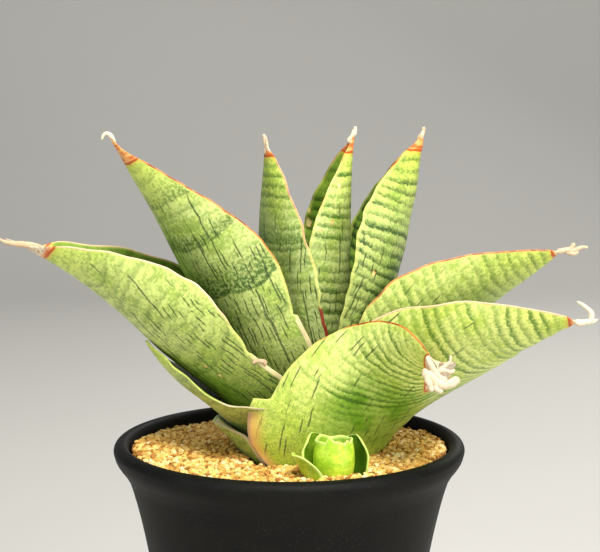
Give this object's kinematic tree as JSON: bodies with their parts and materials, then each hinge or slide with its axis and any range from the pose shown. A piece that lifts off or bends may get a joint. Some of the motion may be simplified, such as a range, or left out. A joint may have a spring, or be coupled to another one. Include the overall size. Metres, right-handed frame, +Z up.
{
  "type": "potted snake plant",
  "caption": "Compact snake plant in a flared round pot: a rosette of broad channelled mottled leaves with dry tips, a small pup in front, and tan grit over the potting mix.",
  "frame": {"origin": "centre of the pot's underside, on the surface it stands on", "axes": "+Z up along the pot's axis, +X to the right, -Y towards the front, where the pup grows"},
  "size_m": [0.192, 0.127, 0.2159],
  "materials": {
    "pot": "matte black with a fine grain",
    "grit": "rough golden tan grains",
    "soil": "rough dark brown potting mix",
    "rhizome": "satin orange brown skin",
    "leaf": "satin waxy leaf, mottled green, with a red-brown margin and a dry pale tip",
    "pup": "satin bright green young leaf with a paler margin"
  },
  "bodies": {
    "root": {"pot": "pot", "gravel_dressing": "grit", "potting_mix": "soil", "rhizome": "rhizome", "leaf_left_low": "leaf", "leaf_left_high": "leaf", "leaf_upright": "leaf", "leaf_centre": "leaf", "leaf_right_high": "leaf", "leaf_right_mid": "leaf", "leaf_right_low": "leaf", "leaf_front": "leaf", "leaf_left_under": "leaf", "base_sheath": "leaf", "pup_left_leaf": "pup", "pup_right_leaf": "pup", "pup_scale": "pup", "pup_bud": "pup"}
  },
  "joints": []
}
